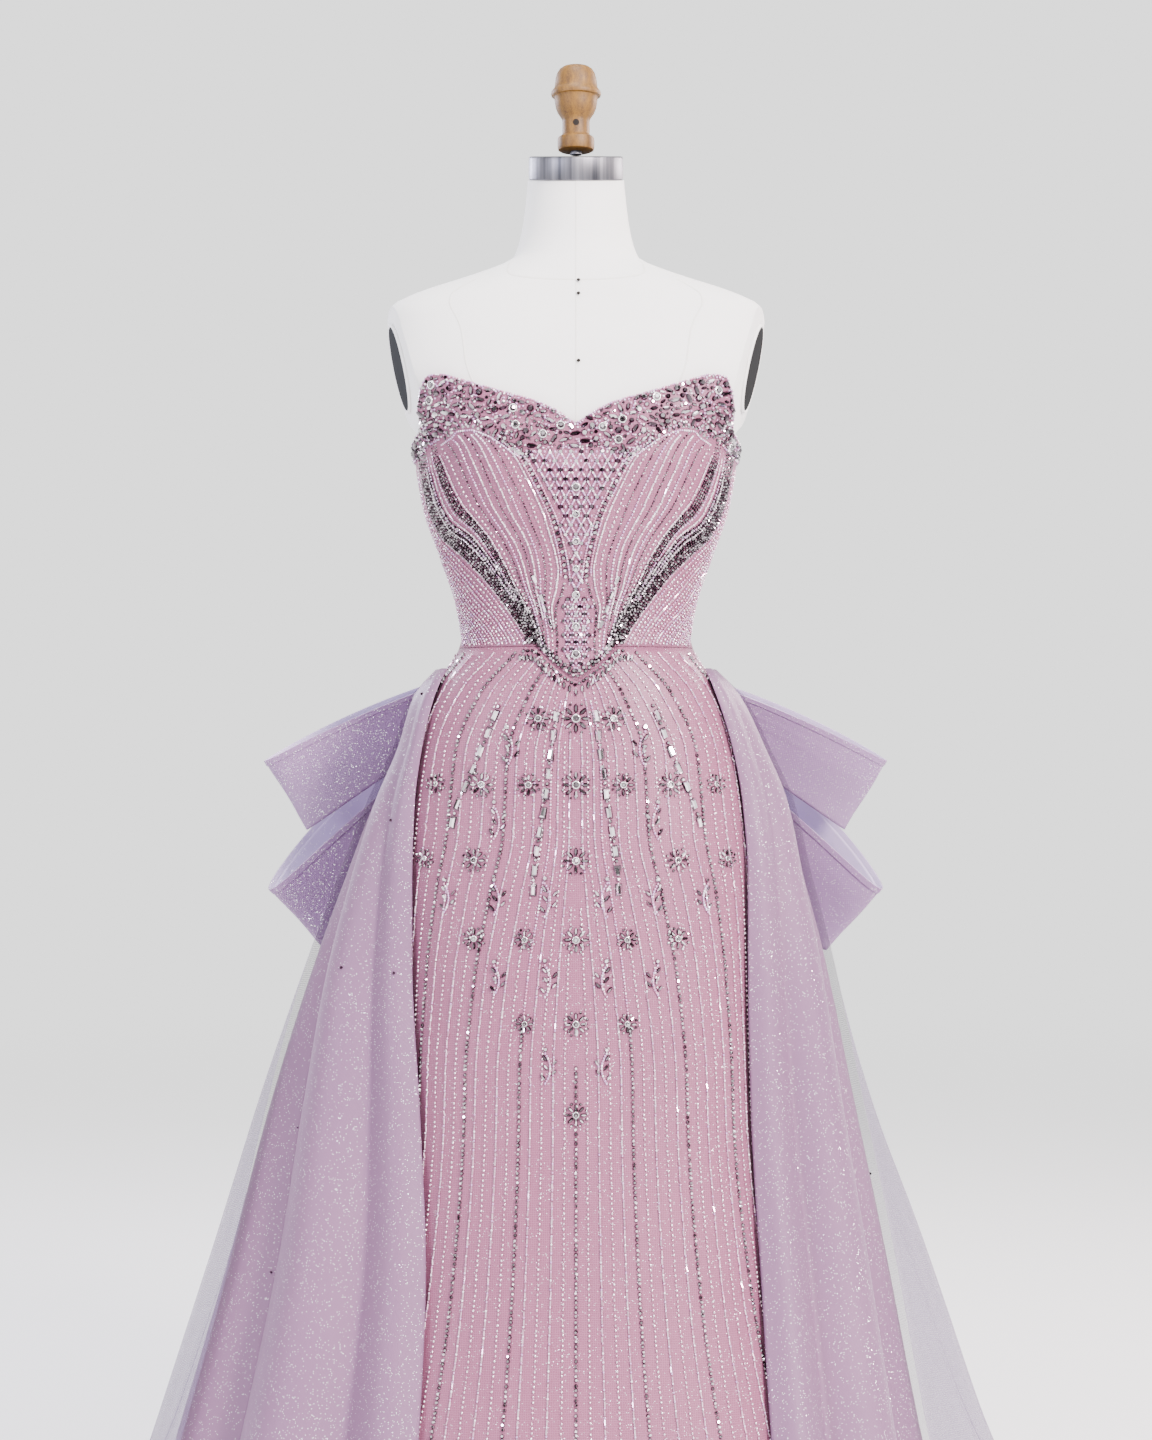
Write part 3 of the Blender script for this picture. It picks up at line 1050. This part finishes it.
for side, side_name in SIDES:
    back_rows = []
    for row in range(1, BACK_SKIRT_ROWS + 1):
        turn = SIDE_SEAM + (math.pi - SIDE_SEAM) * row / (BACK_SKIRT_ROWS + 0.6)
        line = np.full(len(levels), turn * side)
        allowed = levels < (0.90 if row % 2 else WAIST_Z - ROWS_UNDER_SEAM)
        if row % 4 == 0:
            string_beads(back_rows, ROUND_STONE, line[allowed], levels[allowed], 3.8, (3.4, 2.0),
                         (0.0, 0.9))
        else:
            style = ("", "spaced", "bugles", "spaced")[row % 4]
            fine_row(back_rows, line, levels, style, allowed)
    sew_on(f"beads_skirt_back_{side_name}", back_rows)

bodice_back_rows = []
back_rise = np.linspace(0.01, 0.93, 120)
everywhere = np.full(len(back_rise), True)
for side in (1, -1):
    for row in range(BACK_BODICE_ROWS):
        turn = SIDE_SEAM + (math.pi - SIDE_SEAM) * (row + 0.5) / BACK_BODICE_ROWS
        angle = np.full(len(back_rise), turn * side)
        fine_row(bodice_back_rows, angle, bodice_z(angle, back_rise),
                 ("bugles", "spaced", "seeds")[row % 3], everywhere)
sew_on("beads_bodice_back", bodice_back_rows)


def near(x, z, across_mm, up_mm, out=0.0):
    """Spots near a place on the skirt's front, by mm across and up, as on_figure gives them."""
    return on_front(x + np.asarray(across_mm) / 1000, z + np.asarray(up_mm) / 1000, GOWN_OUT + out)


def rosette(work, x, z, size):
    """A round stone in its cup with eight pointed stones round it."""
    turns = np.arange(8) * math.pi / 4
    petals = near(x, z, np.cos(turns) * 7.6 * size, np.sin(turns) * 7.6 * size, 0.0005)
    lay_at(work, NAVETTE, petals, (np.cos(turns), np.sin(turns)), (8.4 * size, 3.9 * size, 2.3),
           (0.2, 1.0))
    spots, round_way, up_way, outward = near(x, z, [0.0], [0.0], 0.0005)
    cup_stones(work, spots, round_way, outward, 7.0 * size)
    turns = turns + math.pi / 8
    lay_at(work, ROUND_STONE, near(x, z, np.cos(turns) * 11.4 * size, np.sin(turns) * 11.4 * size),
           (1, 0), (3.2, 2.0), (0.3, 1.0))


def leaf_sprig(work, x, z, size, lean):
    """A bent stem of seed beads with leaves of pointed stones and a round stone above."""
    bend, tall, apart = 5.0 * size * lean, 15 * size, 4.6 * size
    climb = np.linspace(-1, 1, 13)
    lay_at(work, SEED, near(x, z, bend * climb ** 2, tall * climb), (0, 1), 2.5, (0.3, 1.0))
    leaves = np.array([-0.75, -0.45, -0.1, 0.2, 0.5])
    sides = np.array([1, -1, 1, -1, 1]) * lean
    spots = near(x, z, bend * leaves ** 2 + sides * apart, tall * leaves + 2.6 * size, 0.0004)
    lay_at(work, NAVETTE, spots, (sides * 0.8, 1), (8.6 * size, 4.0 * size, 2.2), (0.15, 1.0))
    lay_at(work, ROUND_STONE, near(x, z, [bend], [19.0 * size], 0.0004), (1, 0),
           (5.4 * size, 2.6), 0.9)


SPRIG_ROWS = [                # height, and how many steps the row reaches each way
    (0.995, 1), (0.965, 2), (0.930, 3), (0.893, 3), (0.856, 3), (0.818, 3), (0.779, 2),
    (0.739, 2), (0.697, 1), (0.654, 1), (0.609, 0), (0.562, 0),
]
SPRIG_STEP = 0.050
SPRIG_ROOM = 0.012            # a motif keeps this far from the baguette rows


def on_baguettes(x, z):
    """Whether a place on the skirt's front is too near a baguette row for a motif."""
    places = [abs(abs(x) - np.interp(z, row_z, row_x)) for row_z, row_x in baguette_lines
              if z > row_z[0] - SPRIG_ROOM]
    return min(places, default=1.0) < SPRIG_ROOM


sprigs = []
for row, (z, reach) in enumerate(SPRIG_ROWS):
    narrow = 0.74 + 0.26 * min(1.0, (SPRIG_ROWS[0][0] - z) / 0.09)
    for place in range(-reach, reach + 1):
        x = (place + 0.5 * (row % 2)) * SPRIG_STEP * narrow
        if (row % 2 and place == reach) or on_baguettes(x, z):
            continue
        size = (1.28 - 0.030 * row) * (1 - 0.22 * abs(x) / 0.15)
        if row % 2:
            leaf_sprig(sprigs, x, z, size, 1 if x >= 0 else -1)
        else:
            rosette(sprigs, x, z, size * (0.85 if place % 2 else 1))
sew_on("beads_skirt_sprigs", sprigs)

# Glitter organza overskirt. Three gored pieces of crisp organza covered in fine flakes,
# lined with net, gathered a little into the waist and open in front. It falls in broad
# soft folds; its front edges are turned in a narrow hem.
OVERSKIRT = np.array([
    (0.012, 0.172, 0.228, 0.478, 0.390, 0.100, 0.570),
    (0.260, 0.154, 0.193, 0.403, 0.341, 0.080, 0.470),
    (0.450, 0.147, 0.183, 0.347, 0.309, 0.065, 0.390),
    (0.600, 0.154, 0.175, 0.306, 0.281, 0.050, 0.325),
    (0.757, 0.163, 0.172, 0.259, 0.251, 0.035, 0.255),
    (0.835, 0.163, 0.172, 0.232, 0.232, 0.030, 0.220),
    (0.910, 0.161, 0.167, 0.205, 0.216, 0.025, 0.184),
    (0.965, 0.154, 0.157, 0.180, 0.192, 0.015, 0.154),
    (1.020, 0.141, 0.140, 0.163, 0.165, 0.005, 0.121),
    (1.045, 0.130, 0.130, 0.1415, 0.1415, 0.000, 0.105),
])
EDGE_CLEAR = 0.0026
FOLDS_PER_SIDE = 7
FIRST_FOLD = 0.0136
FOLD_DEPTH_HEM = 0.026
FOLD_DEPTH_TOP = 0.0015
SIDE_SHARE = 0.5
ORGANZA_WALL = 0.0010
SEAM_SHARE = 0.0003           # the pieces stop this far short of their shared seams
FACING = [(0.0016, 0.050), (0.0016, 0.032), (0.0016, 0.016), (0.0014, 0.007), (0.0011, 0.0024),
          (0.0006, 0.0006)]    # the front edge rolls under: how far in, and share from the edge
ORGANZA_THREAD_MM = 1.6       # real threads lie 0.3 mm apart, too fine to show


def drape_section(side, z):
    """Plan of the overskirt at a height, from its front edge to the centre back."""
    columns = (2, 4, 5, 6) if side > 0 else (1, 3, 5, 6)
    edge, reach, side_y, back_y = (smooth_table(OVERSKIRT, z, i) for i in columns)
    half = figure_point(math.pi / 2, z, GOWN_OUT + EDGE_CLEAR)[0]
    ahead = -figure_point(0.0, z, GOWN_OUT + EDGE_CLEAR)[1]
    square = smooth_table(FIGURE, z, 4)
    edge_y = -0.005 - ahead * np.clip(1 - (edge / half) ** square, 0, 1) ** (1 / square)
    quarter = np.linspace(0, math.pi / 2, 25)
    front = np.stack([edge + (reach - edge) * np.sin(quarter),
                      side_y + (edge_y - side_y) * np.cos(quarter)], axis=-1)
    back = np.stack([reach * np.cos(quarter[1:]),
                     side_y + (back_y - side_y) * np.sin(quarter[1:])], axis=-1)
    return np.concatenate([front, back])


def along_section(points, shares):
    """Points at shares of a plan curve's length, and their outward directions."""
    before = points[0] * 2 - points[1]
    after = np.array([-points[-2][0], points[-2][1]])
    guides = np.concatenate([[before], points, [after]])
    ways = normalized(guides[2:] - guides[:-2])
    lengths = np.concatenate([[0], np.cumsum(np.linalg.norm(np.diff(points, axis=0), axis=1))])
    target = np.asarray(shares) * lengths[-1]
    spots = np.stack([np.interp(target, lengths, points[:, i]) for i in (0, 1)], axis=-1)
    ways = normalized(np.stack([np.interp(target, lengths, ways[:, i]) for i in (0, 1)], axis=-1))
    return spots, np.stack([ways[:, 1], -ways[:, 0]], axis=-1)


def fold_depth(z):
    top = OVERSKIRT[-1, 0]
    return FOLD_DEPTH_HEM + (FOLD_DEPTH_TOP - FOLD_DEPTH_HEM) * np.clip(
        (z - HEM_Z) / (top - HEM_Z), 0, 1) ** 0.8


def hang(side, shares, heights, out_at):
    """A layer over one half, [share from the front edge, height]; out_at says how far it
    stands off the overskirt's plan at a height."""
    grid = np.zeros((len(shares), len(heights), 3))
    for j, z in enumerate(heights):
        spots, away = along_section(drape_section(side, z), shares)
        spots = spots + away * out_at(z)[:, None]
        grid[:, j] = np.stack([spots[:, 0] * side, spots[:, 1], np.full(len(shares), z)], axis=-1)
    return grid


def overskirt_points(side, shares, heights, out=0.0):
    """One half of the overskirt; its folds stand out and dip in alike."""
    wave = (0.5 + 0.5 * np.cos(2 * math.pi * FOLDS_PER_SIDE * (shares - FIRST_FOLD))) ** 0.6
    relief = (2 * wave - 1) * ease_between(shares, -0.008, 0.06)
    return hang(side, shares, heights, lambda z: fold_depth(z) * relief + out)


ORGANZA, tree, shader = new_finish("glitter organza, lilac pink", {
    "Roughness": 0.5, "IOR": 1.45, "Sheen Weight": 0.15, "Sheen Roughness": 0.35,
    "Sheen Tint": "#efd8f0"})
ground = clouds(tree, (110, 110, 260), "#7f5b79", "#705170")
crisp = plain_weave(tree, ORGANZA_THREAD_MM, 0.2, 0.0002)
glittered(tree, shader, ground, "#ffffff", FLAKE_SPACING_MM, 0.085, crisp)

drape_heights = np.linspace(HEM_Z, OVERSKIRT[-1, 0], 81)
for side, side_name in SIDES:
    points = [overskirt_points(side, np.array([share]), drape_heights, -inside)[0]
              for inside, share in FACING]
    points.extend(overskirt_points(side, np.linspace(0, SIDE_SHARE - SEAM_SHARE, 115),
                                   drape_heights))
    drape = cloth_grid(f"overskirt_{side_name}_cloth", np.array(points), ORGANZA, ORGANZA_WALL,
                       flip=side < 0)
    enter(drape, f"overskirt_{side_name}")
shares = np.linspace(SIDE_SHARE + SEAM_SHARE, 1, 85)
back = np.concatenate([overskirt_points(1, shares, drape_heights),
                       overskirt_points(-1, shares, drape_heights)[::-1][1:]])
back_drape = cloth_grid("overskirt_back_cloth", back, ORGANZA, ORGANZA_WALL)
enter(back_drape, "overskirt_back")

VIEW_DISTANCE = 2.45          # the photograph was taken from this far, in metres
LOOSE_STONES = {              # dark stones on the overskirt: distance across as seen, height
    1: [(0.207, 0.890), (0.249, 0.660), (0.319, 0.518)],
    -1: [(0.157, 1.020), (0.189, 0.893), (0.240, 0.745), (0.187, 0.742), (0.284, 0.578),
         (0.311, 0.435)],
}
loose = []
for side, places in LOOSE_STONES.items():
    for across, z in places:
        line = overskirt_points(side, np.linspace(0, 0.45, 200), [z - 0.002, z, z + 0.002], 0.0004)
        seen = line[:, 1, 0] * side / (1 + line[:, 1, 1] / VIEW_DISTANCE)
        nearest = 1 + np.argmin(np.abs(seen[1:-1] - across))
        round_way = line[nearest + 1, 1] - line[nearest - 1, 1]
        up_way = line[nearest, 2] - line[nearest, 0]
        outward = np.cross(round_way, up_way)[None] * side
        lay_beads(loose, ROUND_STONE, line[nearest, 1][None], up_way[None], outward,
                  (3.4, 1.8), 0.05)
sew_on("beads_overskirt", loose)

# Sheer outer layer. Two widths of plain soft tulle hung over the sides and the back of
# the overskirt; the net is see-through and darker where its fine folds double up.
SHEER = [                     # height, and how far out it stands on the right and on the left
    (0.012, 0.006, 0.100), (0.260, 0.004, 0.066), (0.450, 0.003, 0.040),
    (0.600, 0.003, 0.016), (0.757, 0.002, 0.002), (1.045, 0.000, 0.000),
]
SHEER_GAP = 0.007
SHEER_START = 0.27
SHEER_END = 0.9994
SHEER_FOLDS = 6
SHEER_FOLD_DEPTH = 0.010
FINE_FOLDS = 41
FINE_FOLD_DEPTH = 0.0026

TULLE, tree, shader = new_finish("soft bobbinet tulle, lilac", {
    "Roughness": 0.7, "IOR": 1.5, "Sheen Weight": 0.3, "Sheen Tint": "#efe6f2"},
    ((90, 90, 300), "#766089", "#69537c"))
set_inputs(shader, {"Alpha": add_node(tree, "MapRange", {
    "Value": net_holes(tree, TULLE_MESH_MM), "From Min": 0.05, "From Max": 0.16,
    "To Min": 0.75, "To Max": 0.32})})


def sheer_points(side, shares, heights):
    """One half of the net, with broad folds and fine uneven ones that grow downward."""
    spread = ease_between(shares, SHEER_START, 0.38) * (1 - 0.85 * ease_between(shares, 0.6, 1))
    wave = 0.5 + 0.5 * np.cos(2 * math.pi * SHEER_FOLDS * shares)
    uneven = shares + 0.006 * np.sin(37 * shares) + 0.004 * np.sin(83 * shares + 1)
    ripple = 0.5 + 0.5 * np.cos(2 * math.pi * FINE_FOLDS * uneven)
    ripple = ripple * (0.6 + 0.4 * np.sin(29 * shares + 2)) - 0.5

    def out_at(z):
        extra = smooth_table(SHEER, z, 2 if side > 0 else 1) * spread
        grown = ease_between(OVERSKIRT[-1, 0] - z, 0.0, 0.8)
        folds = SHEER_FOLD_DEPTH * wave + FINE_FOLD_DEPTH * ripple
        return fold_depth(z) + SHEER_GAP + extra + folds * grown

    return hang(side, shares, heights, out_at)


for side, side_name in SIDES:
    points = sheer_points(side, np.linspace(SHEER_START, SHEER_END, 261), drape_heights[::2])
    net = cloth_grid(f"tulle_{side_name}_net", points, TULLE, flip=side < 0)
    enter(net, f"tulle_{side_name}")

# Bow. Four loops of doubled organza, stiffened with net, folded back on themselves and
# caught under a pleated wrap at the back waist. Each loop's edges have a narrow hem, and
# small creases run out from the wrap where the cloth is crushed.
LOOPS = {
    "bow_upper": (((0.034, 0.135, 1.064), (0.196, 0.185, 1.032), (0.3345, 0.135, 0.950)),
                  ((0.034, 0.150, 1.038), (0.165, 0.205, 0.972), (0.291, 0.150, 0.875)),
                  0.050, (0.0, 0.99, 0.14)),
    "bow_lower": (((0.034, 0.156, 1.030), (0.199, 0.225, 0.972), (0.3306, 0.140, 0.814)),
                  ((0.034, 0.172, 1.000), (0.165, 0.245, 0.890), (0.2735, 0.165, 0.7455)),
                  0.068, (0.0, 0.87, 0.49)),
}
LOOP_ROOT_GAP = 0.005
LOOP_HEM = 0.0011             # how far the turned hem along each loop's edge stands up
CREASE_DEPTH = 0.0024
BOW_ORGANZA, tree, shader = new_finish("glitter organza, doubled, lilac", {
    "Roughness": 0.5, "IOR": 1.45, "Sheen Weight": 0.15, "Sheen Roughness": 0.35,
    "Sheen Tint": "#e6dcf6", "Subsurface Weight": 0.35, "Subsurface Scale": 0.004,
    "Subsurface Radius": (1.0, 0.8, 1.0)})
ground = clouds(tree, (110, 110, 200), "#8d7094", "#7e6487")
crisp = plain_weave(tree, ORGANZA_THREAD_MM, 0.2, 0.0002)
glittered(tree, shader, ground, "#ffffff", FLAKE_SPACING_MM, 0.11, crisp)
BOW_LINING, tree, shader = new_finish("glitter organza, inside of a loop, lit through", {
    "Roughness": 0.55, "IOR": 1.45, "Sheen Weight": 0.2})
ground = clouds(tree, (60, 60, 90), "#cdbfdf", "#b5a4c9", 4.0)
glittered(tree, shader, ground, "#ffffff", 1.2, 0.08)


def loop_points(loop, side, ways, widths):
    """Points of a loop: [way round from its front root, share of its width]."""
    top, low, opening, lay = loop
    way = np.asarray(ways)[:, None]
    reach = np.sin(math.pi * way)
    opened = 0.5 * opening * np.sin(2 * math.pi * way) + LOOP_ROOT_GAP * np.cos(math.pi * way)
    sides = []
    for root, bend, tip in np.array([low, top]) * (side, 1, 1):
        first = root + (bend - root) * reach
        second = bend + (tip - bend) * reach
        sides.append((first + (second - first) * reach)[:, None])
    return (sides[0] + (sides[1] - sides[0]) * np.asarray(widths)[None, :, None]
            - normalized(np.array(lay)) * opened[:, None])


ways = np.linspace(0, 1, 75)
widths = np.concatenate([np.linspace(0, 0.88, 26), np.linspace(0.9, 1, 12)])
reach = np.sin(math.pi * ways)[:, None]
turned = LOOP_HEM * ease_between(widths, 0.915, 0.928)[None, :]
for name, loop in LOOPS.items():
    for side, side_name in SIDES:
        points = loop_points(loop, side, ways, widths)
        outward = normalized(np.cross(np.gradient(points, axis=0), np.gradient(points, axis=1)))
        fan = widths[None, :] * 4 + 0.7 * np.sin(widths[None, :] * 7 + side) + 0.3 * reach
        crush = np.sin(fan * 2 * math.pi) * np.exp(-reach * 4.5)
        crush = crush + 0.25 * np.sin(7 * widths[None, :] + 5 * ways[:, None] + side) * reach
        points = points + outward * (CREASE_DEPTH * crush + turned)[..., None] * side
        made = cloth_grid(f"{name}_{side_name}_cloth", points, BOW_ORGANZA, ORGANZA_WALL,
                          flip=side < 0, lining=BOW_LINING)
        enter(made, f"{name}_{side_name}")

KNOT_CENTRE = np.array([0.0, 0.153, 1.034])
KNOT_LEAN = math.radians(30)
KNOT_HALF = (0.0365, 0.027, 0.044)
KNOT_PLEATS = 7
climb = np.radians(np.linspace(-89.8, 89.8, 57))[None, :]
turn = np.linspace(0, 2 * math.pi, 97)[:, None]
pleat = 1 + 0.035 * np.cos(2 * KNOT_PLEATS * climb) + 0.012 * np.sin(turn * 3 + climb * 9)
spread = np.cos(climb) ** 0.45 * pleat
x = KNOT_HALF[0] * spread * signed_power(np.cos(turn), 0.7)
y = KNOT_HALF[1] * spread * signed_power(np.sin(turn), 0.7)
z = np.broadcast_to(KNOT_HALF[2] * np.sin(climb), x.shape)
lean_y = y * math.cos(KNOT_LEAN) - z * math.sin(KNOT_LEAN)
lean_z = y * math.sin(KNOT_LEAN) + z * math.cos(KNOT_LEAN)
knot = cloth_grid("bow_knot_wrap", KNOT_CENTRE + np.stack([x, lean_y, lean_z], axis=-1),
                  BOW_ORGANZA)
enter(knot, "bow_knot")

# Marking pins. Three steel pins with small dark round heads, pushed into the cover of the
# form a little beside the centre front seam.
PINS = (1.4285, 1.4145, 1.345)
PIN_OFFSET = 0.0025
PIN_RADIUS = 0.0018
turns = np.linspace(0, 2 * math.pi, 17)[:, None, None]
climb = np.linspace(0.02, math.pi - 0.02, 9)[None, :, None]
for number, z in enumerate(PINS):
    spots, round_way, up_way, outward = on_front(np.array([PIN_OFFSET]), z, 0.0)
    round_head = (round_way * np.cos(turns) + up_way * np.sin(turns)) * np.sin(climb)
    head = spots + PIN_RADIUS * (round_head + outward * (0.55 * np.cos(climb) + 0.3))
    enter(cloth_grid(f"form_pin_{number}", head, DARK_EYE))

# Stage: a plain pale floor that fades into a pale surround, and large soft lights, cooler on
# the photograph's left. In reflections the surround is broken in bright and dark panels, so
# that metal and stones keep their contrast.
camera_data = bpy.data.cameras.new("photograph")
camera_data.lens = 60.05
camera_data.sensor_width = 36
camera = new_object("photograph", camera_data)
camera.location = (0.0, -VIEW_DISTANCE, 0.9935)
camera.rotation_euler = (math.radians(90), 0, 0)
bpy.context.scene.camera = camera

SURROUND = 1.9
FLOOR_HALF = 60
FLOOR, tree, shader = new_finish("painted studio floor", {"Roughness": 0.9},
                                 (400, "#efeeee", "#eae9ea"))
away = add_node(tree, "VectorMath", {0: add_node(tree, "NewGeometry").outputs["Position"]},
                operation="LENGTH").outputs["Value"]
fade = add_node(tree, "MapRange", {"Value": away, "From Min": 0.8, "From Max": 6.0},
                interpolation_type="SMOOTHSTEP")
sweep = add_node(tree, "Emission", {"Color": (1, 1, 1, 1), "Strength": SURROUND})
blend = add_node(tree, "MixShader", {0: fade, 1: shader, 2: sweep})
set_inputs(tree.nodes["Material Output"], {0: blend})
corners = np.array([[(x, y, 0.0) for y in (-FLOOR_HALF, FLOOR_HALF)]
                    for x in (-FLOOR_HALF, FLOOR_HALF)])
cloth_grid("studio_floor", corners, FLOOR)

SOFT_LIGHTS = {               # place, size across, power and colour
    "key": ((2.3, -3.0, 2.7), 0.9, 430, "#fff2ef"),
    "fill": ((-2.6, -2.7, 2.2), 0.9, 95, "#ececff"),
    "top": ((0.0, -0.8, 4.0), 1.2, 80, "#ffffff"),
    "rim_left": ((-2.4, 2.2, 2.4), 0.8, 120, "#e8e8ff"),
    "rim_right": ((2.4, 2.0, 2.4), 0.8, 120, "#fff0f0"),
}
LIT_SPOT = Vector((0, 0, 0.9))
sky_light = bpy.data.lights.new("ceiling", "SUN")
sky_light.energy = 1.6
sky_light.angle = math.radians(70)
ceiling = new_object("ceiling", sky_light)
ceiling.rotation_euler = Vector((-0.5, 1.0, -1.3)).to_track_quat("-Z", "Y").to_euler()
for name, (place, size, power, colour) in SOFT_LIGHTS.items():
    light = bpy.data.lights.new(name, "AREA")
    light.shape = "DISK"
    light.size = size
    light.energy = power
    light.color = linear(colour)[:3]
    lamp = new_object(name, light)
    lamp.location = place
    lamp.rotation_euler = (LIT_SPOT - Vector(place)).to_track_quat("-Z", "Y").to_euler()

world = bpy.data.worlds.new("pale surround")
world.use_nodes = True
tree = world.node_tree
rays = add_node(tree, "LightPath")
way = add_node(tree, "TexCoord").outputs["Generated"]
height = add_node(tree, "SeparateXYZ", {0: way}).outputs[2]
bright = add_node(tree, "MapRange", {
    "Value": height, "From Min": -0.2, "From Max": 0.9, "To Min": 0.06, "To Max": 1.4})
patches = add_node(tree, "TexNoise", {"Vector": way, "Scale": 8.0, "Detail": 1.0})
panels = add_node(tree, "MapRange", {
    "Value": patches, "From Min": 0.44, "From Max": 0.56, "To Min": 0.08, "To Max": 2.4},
    interpolation_type="SMOOTHSTEP")
mirrored = add_node(tree, "Mix", {0: rays.outputs["Is Glossy Ray"], 2: bright, 3: panels},
                    data_type="FLOAT")
seen = add_node(tree, "Mix", {0: rays.outputs["Is Camera Ray"], 2: mirrored, 3: SURROUND},
                data_type="FLOAT")
set_inputs(tree.nodes["Background"], {"Strength": seen, "Color": (1, 1, 1, 1)})
bpy.context.scene.world = world
